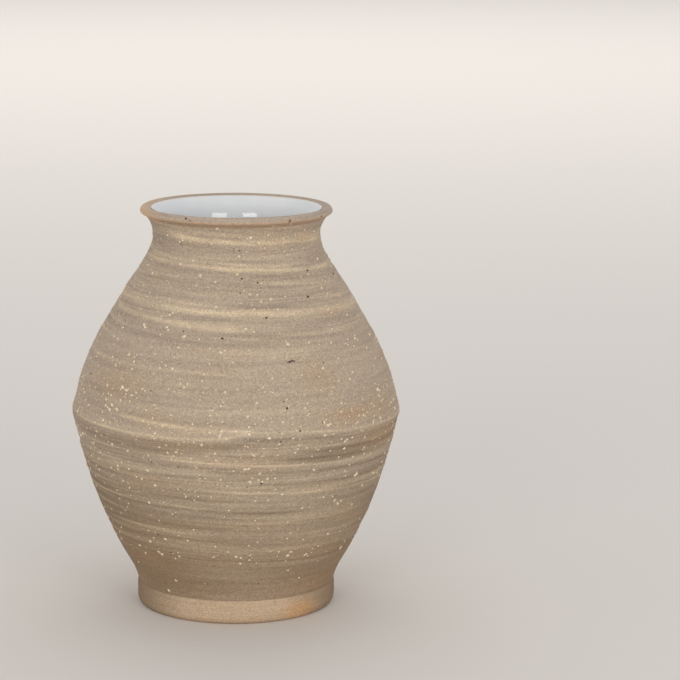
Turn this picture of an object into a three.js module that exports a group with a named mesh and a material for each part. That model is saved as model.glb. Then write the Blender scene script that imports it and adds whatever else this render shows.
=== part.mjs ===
// Stoneware vase, thrown on a wheel: a turned foot ring, two body sections luted together at the belly,
// a collared neck with a flared lip, a matt slip over the outside and a glossy glaze lining the inside.
// Millimetres, +Z up. The pot stands on z = 0 and its axis is Z.
import * as THREE from 'three';

// Driving sizes.
const HEIGHT = 226.6;
const FOOT_RADIUS = 56;
const FOOT_HEIGHT = 13.5;
const FOOT_RING_WIDTH = 9;
const RECESS_DEPTH = 5;
const SEAM_HEIGHT = 107.5;
const BELLY_RADIUS = 92.3;
const BELLY_HEIGHT = 111;
const COLLAR_HEIGHT = 204;
const NECK_RADIUS = 47;
const NECK_HEIGHT = 211;
const LIP_RADIUS = 53.8;
const LIP_WIDTH = 6.1;
const WALL = 5.3;
const FLOOR_TOP = 13.6;
const SLIP = 0.8;
const GLAZE = 0.6;
const HAIRLINE = 0.02;
const JOINT_DEPTH = 3;
const SEGMENTS = 48;

const point = (radius, height) => new THREE.Vector2(radius, height);

// The outside of the finished pot, in three thrown sections.
// Each is a spline through a few (radius, height) points.
const lowerOutline = new THREE.SplineCurve([
  point(55.5, FOOT_HEIGHT),
  point(58.7, 22),
  point(66.6, 36),
  point(75, 54),
  point(81.8, 72),
  point(87.1, 90),
  point(91.3, SEAM_HEIGHT),
]);
const upperOutline = new THREE.SplineCurve([
  point(91.3, SEAM_HEIGHT),
  point(BELLY_RADIUS, BELLY_HEIGHT),
  point(90.6, 118),
  point(87, 132),
  point(79.6, 150),
  point(69.7, 168),
  point(59.9, 184),
  point(52, 196),
  point(48.1, COLLAR_HEIGHT),
]);
const collarOutline = new THREE.SplineCurve([
  point(48.1, COLLAR_HEIGHT),
  point(NECK_RADIUS, NECK_HEIGHT),
  point(48, 216.5),
  point(51, 220.5),
  point(53.4, 223),
]);

// Moves a profile sideways, square to itself. A positive distance goes to the left, into the pot.
function inset(profile, distance) {
  return profile.map((at, i) => {
    const ahead = profile[Math.min(i + 1, profile.length - 1)];
    const behind = profile[Math.max(i - 1, 0)];
    const along = ahead.clone().sub(behind).normalize();
    return point(at.x - along.y * distance, at.y + along.x * distance);
  });
}

// The whole outside from foot to lip is sampled once, so neighbouring pieces meet in the same rings.
const LOWER_STEPS = 6;
const UPPER_STEPS = 8;
const COLLAR_STEPS = 4;
const outside = [
  ...lowerOutline.getPoints(LOWER_STEPS),
  ...upperOutline.getPoints(UPPER_STEPS).slice(1),
  ...collarOutline.getPoints(COLLAR_STEPS).slice(1),
];
const SEAM = LOWER_STEPS;
const COLLAR = LOWER_STEPS + UPPER_STEPS;
const clayOutside = inset(outside, SLIP);
clayOutside[outside.length - 1] = outside[outside.length - 1];
const clayInside = inset(outside, SLIP + WALL);

// The floor curves up into the wall over the first few rings, so those are left out of the inside.
const FIRST_INSIDE = 2;
const floorCurve = new THREE.CubicBezierCurve(
  point(30, FLOOR_TOP),
  point(47, FLOOR_TOP + 0.8),
  point(54, 20),
  clayInside[FIRST_INSIDE],
);
const floor = [point(0, FLOOR_TOP), ...floorCurve.getPoints(4).slice(0, -1)];
const insideLower = [...floor, ...clayInside.slice(FIRST_INSIDE, SEAM + 1)];
const insideUpper = clayInside.slice(SEAM, COLLAR + 1);
const insideCollar = clayInside.slice(COLLAR, -1);

// The lip is bare clay: a soft half round from the underside of the flare to the crest,
// then down to the mouth.
const crest = new THREE.CubicBezierCurve(
  outside[outside.length - 1],
  point(LIP_RADIUS + 0.7, HEIGHT - 2.4),
  point(LIP_RADIUS - 0.9, HEIGHT + 0.6),
  point(LIP_RADIUS - 3.7, HEIGHT),
).getPoints(5).slice(1);
const mouthEdge = point(LIP_RADIUS - LIP_WIDTH, HEIGHT - 1.1);

// A joint between two sections: a raised tongue in the middle of the wall.
function tongue(outer, inner) {
  const from = outer.clone().lerp(inner, 0.3);
  const to = outer.clone().lerp(inner, 0.7);
  return [point(from.x, from.y + JOINT_DEPTH), point(to.x, to.y + JOINT_DEPTH)];
}
const seamTongue = tongue(clayOutside[SEAM], clayInside[SEAM]);
const collarTongue = tongue(clayOutside[COLLAR], clayInside[COLLAR]);

// The foot ring's seat under the pot: across the recess, then up a cone to the first ring of the outside.
const recessRadius = FOOT_RADIUS - FOOT_RING_WIDTH;
const seat = [point(recessRadius, RECESS_DEPTH), point(recessRadius + 3, RECESS_DEPTH + 4)];

// Turns a closed profile, drawn up the outside and down the inside, into one solid of revolution.
function turned(name, profile, material) {
  const closed = profile[0].x === 0 ? profile : [...profile, profile[0].clone()];
  const geometry = new THREE.LatheGeometry(closed, SEGMENTS);
  geometry.rotateX(Math.PI / 2);
  const mesh = new THREE.Mesh(geometry, material);
  mesh.name = name;
  return mesh;
}

const bareClay = new THREE.MeshStandardMaterial({ color: 0xb99a78, roughness: 0.85, metalness: 0 });
const lipClay = new THREE.MeshStandardMaterial({ color: 0xb8a083, roughness: 0.7, metalness: 0 });
const sandSlip = new THREE.MeshStandardMaterial({ color: 0xb3a089, roughness: 0.8, metalness: 0 });
const whiteGlaze = new THREE.MeshStandardMaterial({ color: 0xe3e3e2, roughness: 0.12, metalness: 0 });

const footRing = turned('foot_ring', [
  point(recessRadius + 1.6, 0),
  point(FOOT_RADIUS - 2.2, 0),
  point(FOOT_RADIUS - 0.9, 0.8),
  point(FOOT_RADIUS, 3),
  point(FOOT_RADIUS, 11.6),
  point(FOOT_RADIUS - 0.4, 12.8),
  clayOutside[0],
  seat[1],
  seat[0],
  point(recessRadius + 0.4, 1.6),
], bareClay);

const lowerBody = turned('lower_body', [
  point(0, RECESS_DEPTH),
  ...seat,
  ...clayOutside.slice(0, SEAM + 1),
  ...seamTongue,
  ...insideLower.slice().reverse(),
], bareClay);

const upperBody = turned('upper_body', [
  ...clayOutside.slice(SEAM, COLLAR + 1),
  ...collarTongue,
  ...insideUpper.slice().reverse(),
  ...seamTongue.slice().reverse(),
], bareClay);

const neckCollar = turned('neck_collar', [
  ...clayOutside.slice(COLLAR),
  ...crest,
  mouthEdge,
  ...insideCollar.slice().reverse(),
  ...collarTongue.slice().reverse(),
], lipClay);

// The slip covers the clay from the foot ring to just under the lip, where it feathers out.
// Each coat stops a hairline short of the clay, so that their solids never cut into each other.
const SLIP_TOP = outside.length - 2;
const slipBack = inset(outside, SLIP - HAIRLINE);
const slipCoat = turned('slip_coat', [
  ...outside.slice(0, SLIP_TOP),
  ...slipBack.slice(0, SLIP_TOP + 1).reverse(),
], sandSlip);

// The glaze follows the inside of all three sections and feathers out at the edge of the mouth.
const glazed = [...insideLower, ...insideUpper.slice(1), ...insideCollar.slice(1), mouthEdge];
const glazeBack = inset(glazed, HAIRLINE);
const glazeFace = inset(glazed, GLAZE);
const innerGlaze = turned('inner_glaze', [
  point(0, FLOOR_TOP + HAIRLINE),
  ...glazeBack.slice(1),
  ...glazeFace.slice(1, -1).reverse(),
  point(0, FLOOR_TOP + GLAZE),
], whiteGlaze);

const vase = new THREE.Group();
vase.name = 'vase';
vase.add(footRing, lowerBody, upperBody, neckCollar, slipCoat, innerGlaze);

export default vase;
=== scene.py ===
import math

import bmesh
import bpy
import numpy as np
from mathutils import Matrix, Vector


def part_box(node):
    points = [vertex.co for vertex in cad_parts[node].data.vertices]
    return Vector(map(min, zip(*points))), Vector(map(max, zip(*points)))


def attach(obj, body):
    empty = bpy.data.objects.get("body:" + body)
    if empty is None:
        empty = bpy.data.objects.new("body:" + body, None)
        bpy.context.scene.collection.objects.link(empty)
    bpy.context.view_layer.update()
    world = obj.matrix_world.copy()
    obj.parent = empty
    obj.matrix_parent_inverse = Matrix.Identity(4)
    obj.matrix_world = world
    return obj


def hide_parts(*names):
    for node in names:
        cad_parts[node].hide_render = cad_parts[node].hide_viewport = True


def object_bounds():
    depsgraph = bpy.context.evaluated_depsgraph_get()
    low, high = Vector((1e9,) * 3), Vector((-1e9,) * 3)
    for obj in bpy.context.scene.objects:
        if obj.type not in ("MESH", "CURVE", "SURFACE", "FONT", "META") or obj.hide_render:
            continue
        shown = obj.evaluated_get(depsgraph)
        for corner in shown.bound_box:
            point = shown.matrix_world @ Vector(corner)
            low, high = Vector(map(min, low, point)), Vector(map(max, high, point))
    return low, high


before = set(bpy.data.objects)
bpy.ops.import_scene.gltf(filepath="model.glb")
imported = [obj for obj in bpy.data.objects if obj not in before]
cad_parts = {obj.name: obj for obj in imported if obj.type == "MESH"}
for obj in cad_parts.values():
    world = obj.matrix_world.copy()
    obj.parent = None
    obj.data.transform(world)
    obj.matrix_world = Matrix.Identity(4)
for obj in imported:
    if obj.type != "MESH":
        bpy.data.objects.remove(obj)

MM = 0.001
CAD_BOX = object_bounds()

# Camera, standing in front of the pot and a little above it.
CAMERA_DISTANCE = 1.541
CAMERA_HEIGHT = 0.440
CAMERA_DOWN = math.radians(10.657)
CAMERA_RIGHT = math.radians(2.168)
CAMERA_TILT = math.radians(0.45)
CAMERA_LENS = 147.4

# Fineness of the turned pieces.
WALL_STEPS = 480
WALL_ROW = 0.65 * MM
INSIDE_STEPS = 320
INSIDE_ROW = 1.2 * MM
FINE_ROW = 0.4 * MM
WEDGES = 20

# How the throwing lines lie: a level line drops towards +X by this much either side of the middle.
LEAN = 2.4

# Everything marked on the pot is placed by its angle round the axis and its height.
# Angles are in degrees: -90 is the front and 0 is +X.

# Swipes of pale slip left by the potter's fingers:
# level, drop per radian, from angle, to angle, half width, strength.
PALE_SWIPES = [
    (216.0, 0.0, -146, -26, 3.6, 0.22),
    (212.6, 0.0, -138, -18, 1.5, 1.0),
    (213.2, -1.0, -98, -22, 1.0, 0.7),
    (198.1, 0.0, -175, -10, 1.0, 1.0),
    (200.4, 0.0, -150, -24, 0.8, 0.5),
    (191.6, 0.0, -170, -100, 0.8, 0.35),
    (191.2, 0.2, -80, -35, 0.6, 0.8),
    (182.8, 0.0, -64, -14, 0.9, 0.4),
    (176.5, 0.0, -185, 0, 1.8, 0.85),
    (179.2, 0.3, -180, -96, 0.9, 0.55),
    (168.6, 1.5, -172, -93, 1.2, 0.9),
    (167.9, 1.2, -124, -86, 1.7, 0.75),
    (166.0, 0.0, -74, -30, 1.6, 0.25),
    (157.5, 0.0, -100, -55, 2.0, 0.25),
    (145.4, 0.0, -172, -88, 0.9, 0.35),
    (120.8, 0.0, -178, -125, 0.9, 0.35),
    (100.6, 0.0, -156, -90, 0.4, 0.5),
    (98.3, 1.8, -114, -28, 0.6, 1.0),
    (90.2, 1.0, -146, -90, 1.6, 0.4),
    (85.0, 0.5, -160, -120, 1.2, 0.3),
    (82.2, 1.7, -112, -14, 0.5, 0.8),
    (81.6, 1.0, -70, -44, 1.8, 0.6),
    (71.7, 0.0, -172, -104, 0.8, 0.5),
    (66.0, 0.0, -70, -30, 1.4, 0.25),
    (55.2, 0.4, -152, -62, 1.1, 0.28),
    (47.0, 0.0, -150, -60, 1.5, 0.15),
]
# Grey and brown bands where the slip is thin, written the same way.
DARK_BANDS = [
    (219.4, 0.0, -180, 0, 1.4, 0.4),
    (208.3, 0.0, -165, -66, 1.8, 0.35),
    (194.5, 0.0, -150, -60, 1.2, 0.3),
    (187.4, 0.0, -140, -30, 1.6, 0.35),
    (179.8, 0.0, -100, -20, 1.0, 0.35),
    (172.9, 0.6, -130, -40, 0.9, 0.25),
    (165.0, 0.0, -112, -50, 1.8, 0.25),
    (160.8, 0.0, -140, -80, 1.2, 0.3),
    (152.0, 0.0, -130, -60, 1.4, 0.2),
    (143.5, 0.0, -120, -50, 0.7, 0.3),
    (128.5, 0.0, -130, -85, 0.7, 0.35),
    (104.5, 0.3, -175, -104, 2.6, 0.7),
    (103.0, 0.3, -100, -12, 1.2, 0.6),
    (105.0, 0.3, -66, -8, 4.2, 1.0),
    (101.4, 0.8, -80, -10, 2.0, 0.9),
    (93.6, 0.6, -100, -12, 1.2, 0.7),
    (87.0, 0.5, -80, -14, 1.2, 0.5),
    (77.0, 0.0, -150, -90, 1.0, 0.3),
    (69.7, 0.3, -155, -64, 0.8, 0.4),
    (62.0, 0.0, -100, -40, 1.2, 0.25),
    (51.5, 0.0, -160, -90, 1.6, 0.4),
    (39.4, 0.0, -180, 0, 0.5, 0.5),
]
# Warm blushes: angle, height, half width round (degrees), half height, strength.
BLUSHES = [
    (-140, 136, 16, 9, 0.45),
    (-121, 121, 12, 5, 0.3),
    (-45, 121, 14, 5, 0.7),
    (-58, 143, 8, 9, 0.45),
    (-30, 121, 14, 6, 0.45),
    (-124, 84, 9, 5, 0.35),
    (-108, 108, 16, 4, 0.3),
    (-40, 174, 12, 3, 0.35),
    (-38, 213, 10, 3, 0.4),
    (-42, 18, 24, 7, 0.3),
    (-136, 36, 14, 6, 0.35),
    (-27, 106, 16, 7, 0.65),
]
# The soft edge of the belly, where the two thrown sections meet: (angle, height) round the pot.
BELLY_EDGE = [
    (-180, 113.7), (-150, 113.2), (-125, 112.7), (-104, 112.3), (-94, 113.4), (-85, 116.4),
    (-72, 116.1), (-58, 114.4), (-40, 113.0), (-20, 111.9), (20, 112.6), (70, 115.4), (120, 113.1),
    (150, 114.8),
]
# A second worn line that runs into the edge from the left: (angle, height).
BELLY_LINE = [
    (-136, 121.0), (-120, 119.4), (-108, 118.2), (-98, 117.2), (-85, 116.9),
]

# Large iron spots: angle, height, width, tallness.
IRON_SPOTS = [
    (-121, 225.2, 1.0, 0.9), (-57.5, 224.0, 1.2, 0.9), (-118, 224.3, 0.6, 0.5), (-92, 223.6, 0.5, 0.4),
    (-30, 223.9, 0.8, 0.7), (-87, 193.5, 0.9, 0.8), (-78, 191.3, 0.8, 0.7), (-88, 186.5, 0.7, 0.6),
    (-76, 174.0, 1.0, 0.9), (-96, 164.0, 1.1, 1.0), (-69, 151.7, 1.5, 0.6), (-68, 151.9, 2.0, 0.8),
    (-66.8, 151.8, 1.2, 0.5), (-54, 149.6, 0.8, 0.6), (-160, 136.3, 1.0, 1.0), (-72, 128.3, 1.0, 1.0),
    (-73, 131.9, 0.6, 0.5), (-59, 119.2, 0.9, 0.9), (-68, 116.1, 0.9, 0.8), (-75, 111.3, 1.3, 0.8),
    (-26, 113.5, 0.8, 0.7), (-81, 87.5, 1.2, 1.0), (-147, 98.5, 0.8, 0.9), (-121, 97.0, 0.7, 0.6),
    (-125, 52.6, 0.7, 0.6), (-121, 42.6, 1.0, 0.8), (-71, 41.0, 1.1, 0.8), (-49, 75.0, 0.8, 0.6),
    (-50, 182.7, 1.2, 1.0), (-42, 195.1, 1.0, 0.9), (-16, 190.3, 1.1, 1.1), (-154, 142.0, 0.6, 0.6),
    (-114, 166.6, 0.7, 0.6), (-150, 130.5, 0.5, 0.5), (-88, 208.0, 0.8, 0.6), (-130, 209.9, 0.7, 0.5),
]
# The largest pale grog grains, written the same way.
GROG_GRAINS = [
    (-102, 220.2, 1.6, 1.4), (-67, 221.3, 1.1, 1.0), (-55, 222.0, 0.9, 0.9), (-139, 221.4, 1.0, 0.9),
    (-83, 214.5, 0.8, 0.8), (-71, 209.0, 1.3, 1.1), (-122, 212.0, 1.2, 1.1), (-131, 211.0, 1.1, 0.9),
    (-159, 195.5, 1.3, 1.0), (-112, 194.6, 1.7, 1.5), (-113, 189.4, 1.1, 1.0), (-76, 191.0, 1.8, 1.0),
    (-43, 193.4, 1.4, 1.3), (-83, 185.9, 1.4, 1.2), (-64, 184.0, 1.1, 1.0), (-113, 164.1, 2.4, 1.7),
    (-106, 163.3, 1.1, 1.1), (-157, 164.5, 1.3, 1.1), (-36, 158.5, 1.2, 1.1), (-46, 150.4, 1.2, 1.1),
    (-136, 134.9, 2.5, 1.6), (-133, 134.0, 2.4, 1.0), (-125, 135.0, 1.2, 1.1), (-94, 137.4, 1.1, 1.0),
    (-43, 139.0, 1.6, 1.0), (-143, 115.6, 1.8, 1.9), (-139, 115.4, 1.0, 1.3), (-99, 116.3, 1.7, 1.1),
    (-57, 117.4, 1.5, 1.5), (-35, 114.0, 1.5, 1.4), (-49, 107.9, 1.4, 1.3), (-91, 94.8, 1.2, 1.2),
    (-38, 96.7, 1.5, 1.2), (-121, 83.4, 1.5, 1.5), (-138, 88.9, 1.6, 1.1), (-132, 90.6, 1.6, 1.2),
    (-129, 86.8, 1.1, 1.1), (-47, 51.2, 1.6, 1.4), (-131, 47.3, 1.8, 1.4), (-128, 41.3, 2.0, 1.3),
    (-117, 40.6, 1.7, 1.1), (-88, 41.8, 1.4, 1.1), (-100, 42.2, 1.2, 1.0), (-56, 40.7, 1.4, 1.1),
    (-84, 40.3, 1.5, 0.9), (-124, 23.6, 1.8, 1.2), (-111, 51.5, 1.2, 1.0),
]
GROG_COUNT = 1600
IRON_COUNT = 150
SPOT_RISE = 0.36
# Middle of the orange mark that the flame left on the foot, in metres.
FLAME_MARK = (0.036, -0.043, 0.005)


# Camera, lights and floor

def make_camera():
    camera = bpy.data.objects.new("camera", bpy.data.cameras.new("camera"))
    camera.location = (0, -CAMERA_DISTANCE, CAMERA_HEIGHT)
    aim = Matrix.Rotation(-CAMERA_RIGHT, 3, "Z") @ Matrix.Rotation(math.pi / 2 - CAMERA_DOWN, 3, "X")
    camera.rotation_euler = (aim @ Matrix.Rotation(CAMERA_TILT, 3, "Z")).to_euler()
    camera.data.lens = CAMERA_LENS
    camera.data.clip_start = 0.05
    bpy.context.scene.collection.objects.link(camera)
    bpy.context.scene.camera = camera


def softbox(name, azimuth, elevation, distance, width, height, power, colour, aim=(0, 0, 0.2)):
    """A rectangular soft light facing a point. Azimuth 0 is in front, positive to the right."""
    data = bpy.data.lights.new(name, "AREA")
    data.shape = "RECTANGLE"
    data.size = width
    data.size_y = height
    data.energy = power
    data.color = colour
    light = bpy.data.objects.new(name, data)
    turn = math.radians(azimuth)
    rise = math.radians(elevation)
    away = Vector((math.sin(turn) * math.cos(rise), -math.cos(turn) * math.cos(rise), math.sin(rise)))
    light.location = Vector(aim) + away * distance
    light.rotation_euler = away.to_track_quat("Z", "Y").to_euler()
    bpy.context.scene.collection.objects.link(light)
    return light


def make_studio():
    softbox("right softbox", 28, 11, 2.0, 0.84, 0.66, 7.5, (1.0, 0.98, 0.95))
    softbox("left softbox", -22, 11, 2.0, 0.78, 0.66, 7.5, (1.0, 0.98, 0.95))
    behind = softbox("background light", 0, 90, 2.6, 5.0, 3.5, 70, (1.0, 0.99, 0.97), (0, 3.6, 0))
    behind.visible_glossy = False
    world = bpy.data.worlds.new("studio")
    bpy.context.scene.world = world
    world.use_nodes = True
    world.node_tree.nodes["Background"].inputs["Color"].default_value = (0.97, 0.98, 1.0, 1)
    world.node_tree.nodes["Background"].inputs["Strength"].default_value = 0.64
    bpy.context.scene.view_settings.view_transform = "Standard"


def make_floor():
    bm = bmesh.new()
    bmesh.ops.create_grid(bm, x_segments=2, y_segments=2, size=20)
    floor = new_object("floor", bm)
    floor.data.materials.append(floor_paper())


def new_object(name, bm):
    mesh = bpy.data.meshes.new(name)
    bm.to_mesh(mesh)
    bm.free()
    made = bpy.data.objects.new(name, mesh)
    bpy.context.scene.collection.objects.link(made)
    return made


# Outlines, read from the frame

def section(name):
    """The (radius, height) outline that a turned node was spun from: up the outside, down the inside."""
    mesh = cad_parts[name].data
    links = {}
    for edge in mesh.edges:
        ends = [mesh.vertices[index].co for index in edge.vertices]
        if all(abs(end.y) < 1e-7 and end.x > 1e-4 for end in ends):
            near, far = [(round(end.x, 6), round(end.z, 6)) for end in ends]
            if near != far:
                links.setdefault(near, set()).add(far)
                links.setdefault(far, set()).add(near)
    tips = [ring for ring, joined in links.items() if len(joined) == 1]
    path = [min(tips or links, key=lambda ring: (ring[1], -ring[0]))]
    while True:
        ahead = [ring for ring in links[path[-1]] if ring not in path]
        if not ahead:
            return path
        path.append(max(ahead))


def split_at_top(path):
    top = max(range(len(path)), key=lambda i: path[i][1])
    return path[:top + 1], path[top:]


def smooth(path, row):
    """A smooth curve through the rings of a path, in rows of about the given length."""
    points = [Vector(ring) for ring in path]
    last = len(points) - 1
    made = []
    for i in range(last):
        before, start = points[max(i - 1, 0)], points[i]
        end, after = points[i + 1], points[min(i + 2, last)]
        leaving = (end - before) * 0.5
        arriving = (after - start) * 0.5
        rows = max(1, math.ceil((end - start).length / row))
        for k in range(rows):
            t = k / rows
            at = ((start - end) * 2 + leaving + arriving) * t ** 3
            at += ((end - start) * 3 - leaving * 2 - arriving) * t ** 2
            made.append(tuple(at + leaving * t + start))
    made.append(tuple(points[-1]))
    return made


def rounded(path, row):
    """The same path with its corners eased, in rows of about the given length."""
    points = [Vector(ring) for ring in path]
    for _ in range(3):
        eased = [points[0]]
        for start, end in zip(points, points[1:]):
            eased += [start.lerp(end, 0.25), start.lerp(end, 0.75)]
        points = eased + [points[-1]]
    made = [tuple(points[0])]
    for at in points[1:]:
        gap = (at - Vector(made[-1])).length
        rows = max(1, math.ceil(gap / row))
        if gap > row * 0.5:
            start = Vector(made[-1])
            made += [tuple(start.lerp(at, (k + 1) / rows)) for k in range(rows)]
    if (Vector(made[-1]) - points[-1]).length > 1e-6:
        made[-1] = tuple(points[-1])
    return made


def turned(name, profile, steps, closed=True):
    """Spins a (radius, height) outline, drawn up the outside and down the inside, into a closed piece."""
    bm = bmesh.new()
    verts = [bm.verts.new((radius, 0, height)) for radius, height in profile]
    ends = verts[1:] + verts[:1] if closed else verts[1:]
    edges = [bm.edges.new(pair) for pair in zip(verts, ends)]
    wedge = 2 * math.pi / WEDGES
    bmesh.ops.spin(bm, geom=verts + edges, cent=(0, 0, 0), axis=(0, 0, 1), angle=wedge,
                   steps=steps // WEDGES)
    bmesh.ops.spin(bm, geom=bm.verts[:] + bm.edges[:] + bm.faces[:], cent=(0, 0, 0), axis=(0, 0, 1),
                   angle=2 * math.pi - wedge, steps=WEDGES - 1, use_duplicate=True)
    bmesh.ops.remove_doubles(bm, verts=bm.verts, dist=1e-7)
    bmesh.ops.recalc_face_normals(bm, faces=bm.faces)
    for face in bm.faces:
        face.smooth = True
    return new_object(name, bm)


# The thrown surface: its relief, its marks and its painted shade, as arrays over angle (radians) and height
# (millimetres)

def ring_noise(seed, waves, turns, pitch):
    """Noise that runs long round the pot and changes quickly up it, and closes on itself."""
    rng = np.random.default_rng(seed)
    around = rng.integers(-turns, turns + 1, waves)
    upward = rng.normal(0, 2 * math.pi / pitch, waves)
    phase = rng.uniform(0, 2 * math.pi, waves)

    def at(angle, height):
        total = np.zeros_like(angle)
        for a, u, p in zip(around, upward, phase):
            total += np.cos(a * angle + u * height + p)
        return total / math.sqrt(waves)
    return at


out_of_round = ring_noise(1, 10, 3, 90)
swelling = ring_noise(2, 24, 2, 14)
ridges = ring_noise(3, 36, 3, 5.5)
fine_ridges = ring_noise(4, 48, 5, 2.2)
streaks = ring_noise(5, 48, 5, 5)
fine_streaks = ring_noise(6, 64, 9, 1.8)
patches = ring_noise(7, 30, 9, 26)
breaks = ring_noise(8, 40, 16, 9)


def level_of(angle, height):
    return height + LEAN * np.cos(angle)


def band(distance, half_width):
    return np.exp(-(distance / half_width) ** 2)


def reach(angle, start, end, fade=9):
    """1 between two angles in degrees, fading out past them."""
    degrees = np.degrees(angle)
    middle = (start + end) / 2
    off = np.abs((degrees - middle + 180) % 360 - 180) - (end - start) / 2
    return np.clip(0.5 - off / fade, 0, 1)


def height_along(points, angle, period=None):
    """Height at each angle of a line given as (angle, height) points."""
    angles, heights = zip(*points)
    return np.interp(np.degrees(angle), angles, heights, period=period)


def edge_height(angle):
    return height_along(BELLY_EDGE, angle, period=360)


def line_height(angle):
    return height_along(BELLY_LINE, angle)


def back_swipes(seed, count):
    """Swipes for the side turned away, in the same form as the lists above."""
    rng = np.random.default_rng(seed)
    made = []
    for _ in range(count):
        start = rng.uniform(-10, 120)
        level = rng.uniform(46, 214)
        drop = rng.uniform(-1.5, 1.5)
        end = min(start + rng.uniform(40, 120), 195)
        made.append((level, drop, start, end, rng.uniform(0.6, 2.0), rng.uniform(0.3, 0.8)))
    return made


def swipes(angle, height, marks):
    level = level_of(angle, height)
    total = np.zeros_like(angle)
    for at, drop, start, end, half_width, strength in marks:
        middle = math.radians((start + end) / 2)
        off = (angle - middle + math.pi) % (2 * math.pi) - math.pi + middle + math.pi / 2
        swipe = strength * band(level - at + drop * off, half_width)
        total = np.maximum(total, swipe * reach(angle, start, end, 16))
    return total


def liveliness(height):
    """How strongly the throwing lines show: least on the plain shoulder just above the belly."""
    return 1 - 0.6 * band(height - 141, 21)


def relief(angle, height):
    """How far the thrown wall stands proud of its outline, in millimetres."""
    level = level_of(angle, height)
    rings = 0.10 * ridges(angle, level) + 0.04 * fine_ridges(angle, level)
    thrown = 0.14 * swelling(angle, level) + rings * liveliness(height)
    trimmed = 0.03 * fine_ridges(angle, level * 1.6)
    above = np.clip((level - 37) / 5, 0, 1)
    depth = 0.10 * out_of_round(angle, height) + thrown * above + trimmed * (1 - above)
    edge = height - edge_height(angle)
    depth += 0.17 * band(edge, 1.0) - 0.03 * band(edge + 3, 2.2)
    depth += 0.14 * band(height - line_height(angle), 1.0) * reach(angle, -135, -84, 4)
    depth -= 0.12 * band(level - 39.2, 0.8)
    depth += 0.10 * swipes(angle, height, PALE_SWIPES)
    return np.clip(depth - 0.06, -0.55, 0.28)


def slip_marks_and_shade(angle, height):
    """How much pale slip, thin dark slip, warm blush and fine lining shows at each place, each 0 to 1. The
    dark share also holds painted shade on the lower body and below the belly edge, and the warm share holds
    a painted warm shade on the lower body.
    """
    level = level_of(angle, height)
    worn = 0.78 + 0.22 * breaks(angle, level * 2)
    pale = swipes(angle, height, PALE_SWIPES + back_swipes(21, 14))
    edge = height - edge_height(angle)
    degrees = np.degrees(angle)
    line = line_height(angle)
    pale = np.maximum(pale, (0.64 + 0.2 * np.cos(angle)) * band(edge, 0.7))
    pale = np.maximum(pale, 1.1 * band(height - line, 0.9) * reach(angle, -135, -84, 4))
    live = liveliness(height)
    pale = pale * worn + live * (0.16 * streaks(angle, level) + 0.08 * fine_streaks(angle, level))
    thin_slip_and_shade = swipes(angle, height, DARK_BANDS + back_swipes(22, 14))
    # Painted shade: a dark band just below the belly edge, where the wall turns down.
    thin_slip_and_shade = np.maximum(thin_slip_and_shade, 0.75 * band(edge + 4.6, 3.2))
    thin_slip_and_shade = thin_slip_and_shade * (0.8 + 0.2 * breaks(angle, level * 3 + 40)) - 0.14 * live * streaks(angle, level + 70)
    # Painted shade: the lower body is darkened, more towards the foot and at the left and right sides, most
    # on the left.
    low = np.clip((110 - height) / 45, 0, 1) + 0.4 * np.clip((46 - height) / 8, 0, 1)
    thin_slip_and_shade = thin_slip_and_shade + low * (0.46 + 0.54 * np.cos(angle) ** 2 - 0.16 * np.cos(angle))
    blush_and_warm_shade = 0.12 * patches(angle, height)
    for at, up, round_half, half_height, strength in BLUSHES:
        off = (degrees - at + 180) % 360 - 180
        blush_and_warm_shade = np.maximum(blush_and_warm_shade, strength * band(off, round_half) * band(height - up, half_height))
    # Painted warm shade: the lower body is made warmer, more at the left and right sides.
    blush_and_warm_shade += (0.25 + 0.15 * np.cos(angle) ** 2) * np.clip((76 - height) / 45, 0, 1)
    above = np.clip((height - 36) / 6, 0, 1)
    pale = np.clip(pale * (0.3 + 0.7 * above), 0, 1)
    thin_slip_and_shade = np.clip(thin_slip_and_shade * (0.9 + 0.1 * above), 0, 1)
    lined = 0.15 + 0.5 * band(height - 184, 20) + 0.6 * band(height - 97, 14)
    lined = np.clip(lined + 0.35 * patches(angle + 1, height * 0.7), 0, 1) * above * live
    return np.stack([pale, thin_slip_and_shade, np.clip(blush_and_warm_shade, 0, 1), lined], axis=1)


def wall_radius(face):
    heights = np.array([ring[1] for ring in face]) / MM
    radii = np.array([ring[0] for ring in face]) / MM
    return lambda height: np.interp(height, heights, radii)


def coordinates(mesh):
    flat = np.empty(len(mesh.vertices) * 3)
    mesh.vertices.foreach_get("co", flat)
    return flat.reshape(-1, 3)


def press(piece, radius_at, shape, low, high, thickness):
    """Moves the outer face of a turned piece in or out by shape(angle, height), less near its two edges."""
    at = coordinates(piece.data)
    angle = np.arctan2(at[:, 1], at[:, 0])
    height = at[:, 2] / MM
    radius = np.hypot(at[:, 0], at[:, 1]) / MM
    on_face = np.clip(1 - (radius_at(height) - radius) / thickness, 0, 1)
    on_face *= np.clip((height - low) / 1.0, 0, 1) * np.clip((high - height) / 3.0, 0, 1)
    moved = np.minimum(radius + shape(angle, height) * on_face, CAD_BOX[1].x / MM - 0.1)
    scale = moved / np.maximum(radius, 1)
    at[:, :2] *= scale[:, None]
    piece.data.vertices.foreach_set("co", at.ravel())
    piece.data.update()


def mark(piece):
    """Stores the slip's marks and its painted shade on a piece, for its material to read."""
    at = coordinates(piece.data)
    angle = np.arctan2(at[:, 1], at[:, 0])
    store = piece.data.attributes.new("slip_marks_and_shade", "FLOAT_COLOR", "POINT")
    store.data.foreach_set("color", slip_marks_and_shade(angle, at[:, 2] / MM).ravel())


def finish_piece(piece, material, slot, *replaced):
    piece.data.set_sharp_from_angle(angle=math.radians(50))
    piece.data.materials.append(material)
    if replaced:
        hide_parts(*replaced)
    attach(piece, "root")


# Pieces

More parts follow.
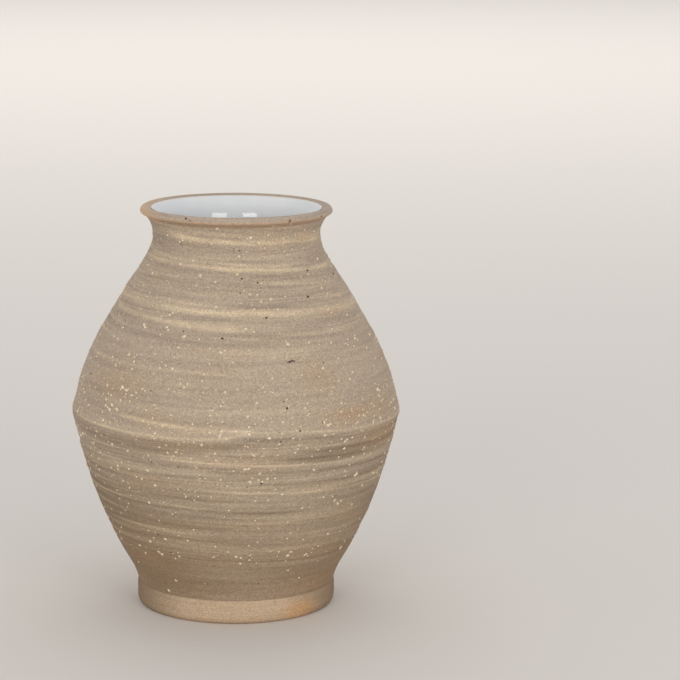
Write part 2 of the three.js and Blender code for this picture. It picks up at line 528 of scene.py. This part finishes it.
def make_slip_coat(material):
    """The slip in two pieces that meet at the widest ring. Returns the radius of the wall at a height."""
    face, back = split_at_top(section("slip_coat"))
    widest = max(range(len(face)), key=lambda i: face[i][0])
    curve = smooth(face, WALL_ROW)
    split = max(range(len(curve)), key=lambda i: curve[i][0])
    lip = split_at_top(section("neck_collar"))[0]
    radius_at = wall_radius(curve + [ring for ring in lip if ring[1] > curve[-1][1]])
    low, high = face[0][1] / MM, face[-1][1] / MM
    back_split = min(range(len(back)), key=lambda i: abs(back[i][1] - face[widest][1]))
    thickness = (face[widest][0] - back[back_split][0]) / MM
    for name, outer, inner in (("slip_below", curve[:split + 1], back[back_split:]),
                               ("slip_above", curve[split:], back[1:back_split + 1])):
        piece = turned(name, outer + inner, WALL_STEPS)
        press(piece, radius_at, relief, low, high, thickness)
        mark(piece)
        finish_piece(piece, material, "sand_slip", "slip_coat")
    return radius_at


def make_lip(material):
    path = section("neck_collar")
    slip_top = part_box("slip_coat")[1].z
    start = min(i for i, ring in enumerate(path) if ring[1] > slip_top - 5 * MM)
    end = max(i for i, ring in enumerate(path) if ring[1] > slip_top)
    lip = rounded(path[start:end + 2], FINE_ROW)
    piece = turned("lip_and_neck", path[:start] + lip + path[end + 2:], WALL_STEPS)
    at = coordinates(piece.data)
    angle = np.arctan2(at[:, 1], at[:, 0])
    height = at[:, 2] / MM
    top = np.clip((height - slip_top / MM) / 2, 0, 1)
    at[:, 2] += top * 0.07 * (out_of_round(angle, angle * 0 + 12) - 2.4) * MM
    wobble = 0.10 * out_of_round(angle, angle * 0 + 60) + 0.05 * breaks(angle, height)
    at[:, :2] *= (1 + top * wobble / 54)[:, None]
    piece.data.vertices.foreach_set("co", at.ravel())
    finish_piece(piece, material, "lip_clay", "neck_collar")


def make_foot(material):
    path = section("foot_ring")
    seat = next(i for i, ring in enumerate(path) if ring[0] < path[i - 1][0] and ring[1] < path[i - 1][1])
    outside = rounded(path[:seat], FINE_ROW)
    inside = rounded(path[seat:], FINE_ROW * 2)
    bottom = [tuple(Vector(inside[-1]).lerp(Vector(outside[0]), k / 12)) for k in range(1, 12)]
    piece = turned("foot", outside + inside + bottom, WALL_STEPS)
    radius_at = wall_radius(outside)

    def turning(angle, height):
        return 0.05 * fine_ridges(angle, height * 1.3) + 0.06 * swelling(angle, height) - 0.05
    press(piece, radius_at, turning, 0.4, 16, 2)
    finish_piece(piece, material, "bare_clay", "foot_ring")


def make_base(material):
    """The lower section, with the marks of the turning tool on its underside."""
    path = section("lower_body")
    bottom, floor = path[0][1], path[-1][1]
    rows = 80
    under = []
    for k in range(rows):
        radius = path[0][0] * k / rows
        groove = 0.10 * math.cos(k * 1.35) + 0.08 * math.cos(k * 0.41 + 1)
        groove -= 0.5 * math.exp(-(radius / (3 * MM)) ** 2)
        under.append((radius, bottom + (groove + 0.2) * MM * min(1, (rows - k) / 4)))
    piece = turned("lower_section", under + path + [(0, floor)], 240, closed=False)
    finish_piece(piece, material, "bare_clay", "lower_body")


def make_glaze(material):
    back, face = split_at_top(section("inner_glaze"))
    curve = smooth(face, INSIDE_ROW)
    profile = [(0, back[0][1])] + back[:-1] + curve + [(0, face[-1][1])]
    piece = turned("glaze_lining", profile, INSIDE_STEPS, closed=False)
    at = coordinates(piece.data)
    angle = np.arctan2(at[:, 1], at[:, 0])
    height = at[:, 2] / MM
    radius = np.hypot(at[:, 0], at[:, 1]) / MM
    heights = np.array([ring[1] for ring in reversed(curve)]) / MM
    radii = np.array([ring[0] for ring in reversed(curve)]) / MM
    on_face = np.clip(1 - (radius - np.interp(height, heights, radii)) / 0.3, 0, 1)
    on_face *= np.clip((height - 18) / 8, 0, 1) * np.clip((face[0][1] / MM - height) / 3, 0, 1)
    wave = 0.03 * ridges(angle, level_of(angle, height)) + 0.05 * swelling(angle, height)
    at[:, :2] *= (1 + wave * on_face / np.maximum(radius, 1))[:, None]
    piece.data.vertices.foreach_set("co", at.ravel())
    finish_piece(piece, material, "white_glaze", "inner_glaze")


def grain_shapes(rng):
    """A few small rough grains, one unit across, to be set into the wall again and again."""
    shapes = []
    for _ in range(8):
        bm = bmesh.new()
        bmesh.ops.create_uvsphere(bm, u_segments=8, v_segments=5, radius=0.5)
        for vert in bm.verts:
            vert.co *= 1 + rng.uniform(-0.28, 0.28)
        for face in bm.faces:
            face.smooth = True
        shape = bpy.data.meshes.new("grain")
        bm.to_mesh(shape)
        bm.free()
        shapes.append(shape)
    return shapes


def set_grain(bm, shapes, rng, at, outwards, width, tallness, rise):
    """Sets one grain into the wall, wider than it is deep."""
    side = Vector((0, 0, 1)).cross(outwards).normalized()
    axes = Matrix((side, outwards.cross(side), outwards)).transposed().to_4x4()
    spin = Matrix.Rotation(rng.uniform(-0.9, 0.9), 4, "Z")
    size = Matrix.Diagonal((width * MM, tallness * MM, rise * MM, 1))
    shape = shapes[rng.integers(len(shapes))].copy()
    shape.transform(Matrix.Translation(at) @ axes @ spin @ size)
    bm.from_mesh(shape)
    bpy.data.meshes.remove(shape)


def wall_point(radius_at, degrees, height, rise):
    """A point on the finished wall for a grain to stand on, and the way out of it there."""
    angle = math.radians(degrees)
    here = radius_at(height) + float(relief(np.array([angle]), np.array([height]))[0]) * (height < 220)
    here = min(here, CAD_BOX[1].x / MM - 0.66 * rise)
    slope = (radius_at(height + 1) - radius_at(height - 1)) / 2
    outwards = Vector((math.cos(angle), math.sin(angle), -slope)).normalized()
    return Vector((math.cos(angle) * here, math.sin(angle) * here, height)) * MM, outwards


def grog_density(degrees, height):
    """How thickly grog shows at a place on the wall, 0 to 1."""
    amount = 0.4 + 0.6 * math.exp(-((height - 118) / 20) ** 2)
    amount *= 0.75 + 0.25 * math.cos(math.radians(degrees + 150))
    if height < 38:
        amount *= 0.12
    elif height < 45:
        amount *= 2.0
    elif height < 70:
        amount *= 0.4
    return amount


def make_grog(radius_at, material):
    rng = np.random.default_rng(31)
    shapes = grain_shapes(rng)
    bm = bmesh.new()
    for degrees, height, width, tallness in GROG_GRAINS:
        rise = 0.5 * min(width, tallness)
        at, outwards = wall_point(radius_at, degrees, height, rise)
        set_grain(bm, shapes, rng, at, outwards, width * 1.1, tallness * 1.1, rise)
    placed = 0
    while placed < GROG_COUNT:
        degrees = rng.uniform(-180, 180)
        height = rng.uniform(15, 217)
        if rng.uniform() * 92 * 1.2 > grog_density(degrees, height) * radius_at(height):
            continue
        placed += 1
        width = min(0.62 + rng.gamma(2.0, 0.28), 2.0)
        tallness = width * rng.uniform(0.6, 1.1)
        rise = 0.5 * width
        at, outwards = wall_point(radius_at, degrees, height, rise)
        set_grain(bm, shapes, rng, at, outwards, width * rng.uniform(0.8, 1.4), tallness, rise)
    finish_grains("grog_grains", bm, material)


def make_iron(radius_at, material):
    rng = np.random.default_rng(32)
    shapes = grain_shapes(rng)
    bm = bmesh.new()
    spots = list(IRON_SPOTS)
    for _ in range(IRON_COUNT):
        size = rng.uniform(0.3, 0.65)
        spots.append((rng.uniform(-180, 180), rng.uniform(20, 216), size, size * rng.uniform(0.6, 1.0)))
    for _ in range(24):
        size = rng.uniform(0.7, 1.2)
        spots.append((rng.uniform(-8, 190), rng.uniform(40, 216), size, size * rng.uniform(0.6, 1.0)))
    for degrees, height, width, tallness in spots:
        at, outwards = wall_point(radius_at, degrees, height, SPOT_RISE)
        set_grain(bm, shapes, rng, at, outwards, width * 1.45, tallness * 1.4, SPOT_RISE)
    finish_grains("iron_spots", bm, material)


def finish_grains(name, bm, material):
    bmesh.ops.recalc_face_normals(bm, faces=bm.faces)
    piece = new_object(name, bm)
    piece.data.materials.append(material)
    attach(piece, "root")


# Materials

def rgb(red, green, blue):
    """A colour given as it looks on a screen, 0 to 255, made linear."""
    return tuple(((c / 255 + 0.055) / 1.055) ** 2.4 for c in (red, green, blue)) + (1,)


def node(tree, kind, inputs=None, **settings):
    made = tree.nodes.new(kind)
    for name, value in settings.items():
        setattr(made, name, value)
    for name, value in (inputs or {}).items():
        socket = made.inputs[name]
        if isinstance(value, bpy.types.NodeSocket):
            tree.links.new(value, socket)
        else:
            socket.default_value = value
    return made


def math_node(tree, operation, first, second=0.5):
    return node(tree, "ShaderNodeMath", {0: first, 1: second}, operation=operation).outputs[0]


def times(tree, first, second):
    return math_node(tree, "MULTIPLY", first, second)


def noise(tree, place, scale, detail, roughness=0.5):
    inputs = {"Vector": place, "Scale": scale, "Detail": detail, "Roughness": roughness}
    return node(tree, "ShaderNodeTexNoise", inputs).outputs[0]


def vector_math(tree, operation, first, second=(0, 0, 0)):
    return node(tree, "ShaderNodeVectorMath", {0: first, 1: second}, operation=operation)


def height_up(tree):
    return node(tree, "ShaderNodeSeparateXYZ", {"Vector": object_point(tree)}).outputs[2]


def mix(tree, factor, first, second, blend="MIX"):
    made = node(tree, "ShaderNodeMix", {"Factor": factor}, data_type="RGBA", blend_type=blend)
    for socket, value in ((made.inputs[6], first), (made.inputs[7], second)):
        if isinstance(value, bpy.types.NodeSocket):
            tree.links.new(value, socket)
        else:
            socket.default_value = value
    return made.outputs[2]


def ramp(tree, value, low, high):
    """0 below low and 1 above high."""
    return node(tree, "ShaderNodeMapRange", {"Value": value, "From Min": low, "From Max": high}).outputs[0]


def group(name, inputs, outputs):
    tree = bpy.data.node_groups.new(name, "ShaderNodeTree")
    for label, value in inputs.items():
        made = tree.interface.new_socket(name=label, in_out="INPUT", socket_type="NodeSocketFloat")
        made.default_value = value
    for label in outputs:
        tree.interface.new_socket(name=label, in_out="OUTPUT", socket_type="NodeSocketFloat")
    return tree, tree.nodes.new("NodeGroupInput"), tree.nodes.new("NodeGroupOutput")


def object_point(tree):
    return tree.nodes.new("ShaderNodeTexCoord").outputs["Object"]


def make_clay_grain():
    """Sandy clay: fine tone changes and single grains. Size is a grain's width in metres."""
    tree, given, out = group("clay_grain", {"Size": 0.0009}, ("Tone", "Height"))
    scale = math_node(tree, "DIVIDE", 1.0, given.outputs["Size"])
    place = object_point(tree)
    soft = noise(tree, place, scale, 2.5, 0.65)
    cells = node(tree, "ShaderNodeTexVoronoi", {"Vector": place, "Scale": times(tree, scale, 0.8)})
    each = node(tree, "ShaderNodeSeparateColor", {"Color": cells.outputs["Color"]}).outputs[0]
    tone = math_node(tree, "ADD", times(tree, soft, 0.5), times(tree, each, 0.5))
    tree.links.new(tone, out.inputs["Tone"])
    bead = math_node(tree, "SUBTRACT", 1.0, cells.outputs["Distance"])
    tree.links.new(math_node(tree, "ADD", times(tree, bead, each), soft), out.inputs["Height"])
    return tree


def make_wheel_lines():
    """Fine lines round the pot. Pitch is their spacing up the wall and Run their length, in metres."""
    tree, given, out = group("wheel_lines", {"Pitch": 0.0012, "Run": 0.05, "Start": 0.0}, ("Lines",))
    along = math_node(tree, "DIVIDE", 1.0, given.outputs["Run"])
    upward = math_node(tree, "DIVIDE", 1.0, given.outputs["Pitch"])
    stretch = node(tree, "ShaderNodeCombineXYZ", {0: along, 1: along, 2: upward}).outputs[0]
    place = vector_math(tree, "MULTIPLY", object_point(tree), stretch).outputs[0]
    shift = node(tree, "ShaderNodeCombineXYZ", {0: given.outputs["Start"]}).outputs[0]
    place = vector_math(tree, "ADD", place, shift).outputs[0]
    tree.links.new(noise(tree, place, 1.0, 3.0, 0.6), out.inputs["Lines"])
    return tree


def make_iron_dots():
    """Scattered dark dots. Spacing and Size are in metres; Amount is the share of places that has one."""
    tree, given, out = group("iron_dots", {"Spacing": 0.006, "Size": 0.0004, "Amount": 0.3}, ("Mask",))
    scale = math_node(tree, "DIVIDE", 1.0, given.outputs["Spacing"])
    cells = node(tree, "ShaderNodeTexVoronoi", {"Vector": object_point(tree), "Scale": scale})
    distance = times(tree, cells.outputs["Distance"], given.outputs["Spacing"])
    inside = ramp(tree, distance, given.outputs["Size"], times(tree, given.outputs["Size"], 0.5))
    chosen = node(tree, "ShaderNodeSeparateColor", {"Color": cells.outputs["Color"]}).outputs[1]
    chosen = math_node(tree, "LESS_THAN", chosen, given.outputs["Amount"])
    tree.links.new(times(tree, inside, chosen), out.inputs["Mask"])
    return tree


def placed(tree, group_tree, **values):
    made = node(tree, "ShaderNodeGroup", node_tree=group_tree)
    for name, value in values.items():
        made.inputs[name].default_value = value
    return made


def new_material(name, roughness, specular=0.5):
    made = bpy.data.materials.new(name)
    made.use_nodes = True
    tree = made.node_tree
    shader = tree.nodes["Principled BSDF"]
    shader.inputs["Roughness"].default_value = roughness
    shader.inputs["Specular IOR Level"].default_value = specular
    return made, tree, shader


def bump(tree, shader, height, distance, strength=1.0):
    made = node(tree, "ShaderNodeBump", {"Height": height, "Distance": distance, "Strength": strength})
    tree.links.new(made.outputs[0], shader.inputs["Normal"])


def lightened(tree, colour, tone, low, high):
    """Multiplies a colour by a tone spread from low to high."""
    spread = {"Value": tone, "From Min": 0.3, "From Max": 0.7, "To Min": low, "To Max": high}
    amount = node(tree, "ShaderNodeMapRange", spread, clamp=False).outputs[0]
    grey = node(tree, "ShaderNodeCombineColor", {0: amount, 1: amount, 2: amount}).outputs[0]
    return mix(tree, 1.0, colour, grey, "MULTIPLY")


def floor_paper():
    made, tree, shader = new_material("floor_paper", 0.9, 0.2)
    shader.inputs["Base Color"].default_value = rgb(226, 220, 213)
    return made


def sand_slip(grain_group, lines_group):
    made, tree, shader = new_material("sand_slip", 0.78, 0.3)
    marks = node(tree, "ShaderNodeAttribute", attribute_name="slip_marks_and_shade")
    parts = node(tree, "ShaderNodeSeparateColor", {"Color": marks.outputs["Color"]})
    pale, thin_slip_and_shade, blush_and_warm_shade = parts.outputs
    sand = placed(tree, grain_group, Size=0.00045)
    lines = placed(tree, lines_group, Pitch=0.0011, Run=0.06)
    wide_lines = placed(tree, lines_group, Pitch=0.004, Run=0.12, Start=4.0)
    light_line = times(tree, ramp(tree, lines.outputs[0], 0.5, 0.66), marks.outputs["Alpha"])
    dark_line = times(tree, ramp(tree, lines.outputs[0], 0.5, 0.36), marks.outputs["Alpha"])
    wide_tone = ramp(tree, wide_lines.outputs[0], 0.38, 0.64)
    colour = mix(tree, wide_tone, rgb(176, 158, 139), rgb(190, 171, 149))
    colour = mix(tree, times(tree, light_line, 0.6), colour, rgb(206, 187, 160))
    colour = mix(tree, times(tree, dark_line, 0.6), colour, rgb(156, 137, 117))
    # Thin slip and painted shade: below the belly the dark share is mostly painted shade, and its colour
    # there is a darker brown.
    thin_slip_and_shade_colour = mix(tree, ramp(tree, height_up(tree), 0.1, 0.13), rgb(138, 119, 97), rgb(149, 133, 118))
    colour = mix(tree, thin_slip_and_shade, colour, thin_slip_and_shade_colour)
    colour = mix(tree, pale, colour, rgb(220, 198, 166))
    # The warm share is blush together with painted warm shade on the lower body.
    colour = mix(tree, times(tree, blush_and_warm_shade, 0.7), colour, rgb(178, 143, 108))
    colour = lightened(tree, colour, sand.outputs["Tone"], 0.82, 1.16)
    tree.links.new(colour, shader.inputs["Base Color"])
    spread = {"Value": sand.outputs["Tone"], "To Min": 0.68, "To Max": 0.92}
    tree.links.new(node(tree, "ShaderNodeMapRange", spread).outputs[0], shader.inputs["Roughness"])
    height = math_node(tree, "ADD", sand.outputs["Height"], times(tree, lines.outputs[0], 1.2))
    bump(tree, shader, height, 0.00012, 0.7)
    return made


def bare_clay(grain_group, lines_group, dots_group):
    made, tree, shader = new_material("bare_clay", 0.85, 0.3)
    sand = placed(tree, grain_group, Size=0.0004)
    lines = placed(tree, lines_group, Pitch=0.0008, Run=0.05, Start=9.0)
    dots = placed(tree, dots_group, Spacing=0.007, Size=0.00035, Amount=0.35)
    point = node(tree, "ShaderNodeSeparateXYZ", {"Vector": object_point(tree)})
    colour = mix(tree, ramp(tree, lines.outputs[0], 0.3, 0.7), rgb(190, 163, 133), rgb(205, 181, 153))
    # Painted shade: the foot darkens along its bottom edge, where it turns under towards the floor.
    low = ramp(tree, point.outputs[2], 0.004, 0.0005)
    colour = mix(tree, times(tree, low, 0.55), colour, rgb(168, 140, 108))
    # Painted shade: the foot darkens towards its left and right sides, along X.
    painted_side_shade = ramp(tree, math_node(tree, "ABSOLUTE", point.outputs[0]), 0.028, 0.056)
    colour = mix(tree, times(tree, painted_side_shade, 0.92), colour, rgb(134, 112, 88))
    flash = vector_math(tree, "SUBTRACT", object_point(tree), FLAME_MARK).outputs[0]
    flash = vector_math(tree, "MULTIPLY", flash, (1, 1, 2.2)).outputs[0]
    far = vector_math(tree, "LENGTH", flash).outputs["Value"]
    colour = mix(tree, times(tree, ramp(tree, far, 0.017, 0.004), 0.6), colour, rgb(204, 154, 102))
    colour = mix(tree, dots.outputs[0], colour, rgb(96, 78, 62))
    colour = lightened(tree, colour, sand.outputs["Tone"], 0.86, 1.13)
    tree.links.new(colour, shader.inputs["Base Color"])
    height = math_node(tree, "ADD", sand.outputs["Height"], times(tree, lines.outputs[0], 2.0))
    bump(tree, shader, height, 0.0001, 0.6)
    return made


def lip_clay(grain_group, lines_group, dots_group):
    made, tree, shader = new_material("lip_clay", 0.62, 0.4)
    sand = placed(tree, grain_group, Size=0.0004)
    lines = placed(tree, lines_group, Pitch=0.0009, Run=0.03, Start=17.0)
    dots = placed(tree, dots_group, Spacing=0.009, Size=0.0005, Amount=0.22)
    point = node(tree, "ShaderNodeSeparateXYZ", {"Vector": object_point(tree)})
    colour = mix(tree, ramp(tree, lines.outputs[0], 0.3, 0.7), rgb(172, 154, 137), rgb(190, 172, 152))
    edge = math_node(tree, "COMPARE", point.outputs[2], 0.2232)
    edge.node.inputs[2].default_value = 0.0006
    colour = mix(tree, times(tree, edge, 0.45), colour, rgb(200, 156, 112))
    # Painted shade: the underside of the lip is darker and browner.
    under = ramp(tree, point.outputs[2], 0.2230, 0.2222)
    colour = mix(tree, times(tree, under, 0.8), colour, rgb(166, 140, 116))
    side = ramp(tree, point.outputs[0], -0.04, -0.056)
    colour = mix(tree, times(tree, side, 0.7), colour, rgb(226, 182, 138))
    colour = mix(tree, dots.outputs[0], colour, rgb(92, 74, 60))
    colour = lightened(tree, colour, sand.outputs["Tone"], 0.84, 1.14)
    tree.links.new(colour, shader.inputs["Base Color"])
    bump(tree, shader, sand.outputs["Height"], 0.00008, 0.6)
    return made


def white_glaze(dots_group):
    made, tree, shader = new_material("white_glaze", 0.06, 0.7)
    dots = placed(tree, dots_group, Spacing=0.011, Size=0.0004, Amount=0.2)
    point = object_point(tree)
    cloud = noise(tree, point, 35.0, 2.0)
    colour = mix(tree, ramp(tree, cloud, 0.35, 0.65), rgb(226, 227, 228), rgb(234, 234, 233))
    height = node(tree, "ShaderNodeSeparateXYZ", {"Vector": point}).outputs[2]
    edge = ramp(tree, height, 0.2248, 0.2256)
    colour = mix(tree, times(tree, edge, 0.6), colour, rgb(226, 208, 184))
    colour = mix(tree, times(tree, dots.outputs[0], 0.6), colour, rgb(120, 108, 98))
    tree.links.new(colour, shader.inputs["Base Color"])
    bump(tree, shader, cloud, 0.0004, 0.12)
    return made


def grog():
    made, tree, shader = new_material("pale_grog", 0.7, 0.4)
    tint = noise(tree, object_point(tree), 160.0, 1.0)
    colour = mix(tree, ramp(tree, tint, 0.35, 0.65), rgb(222, 198, 164), rgb(238, 223, 197))
    tree.links.new(colour, shader.inputs["Base Color"])
    return made


def iron():
    made, tree, shader = new_material("iron_spot", 0.55, 0.4)
    tint = noise(tree, object_point(tree), 300.0, 1.0)
    colour = mix(tree, ramp(tree, tint, 0.35, 0.65), rgb(58, 46, 38), rgb(98, 76, 60))
    tree.links.new(colour, shader.inputs["Base Color"])
    return made


grain_group = make_clay_grain()
lines_group = make_wheel_lines()
dots_group = make_iron_dots()
clay = bare_clay(grain_group, lines_group, dots_group)

make_camera()
make_studio()
make_floor()
make_foot(clay)
make_base(clay)
make_lip(lip_clay(grain_group, lines_group, dots_group))
make_glaze(white_glaze(dots_group))
wall = make_slip_coat(sand_slip(grain_group, lines_group))
make_grog(wall, grog())
make_iron(wall, iron())
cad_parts["upper_body"].data.materials.clear()
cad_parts["upper_body"].data.materials.append(clay)
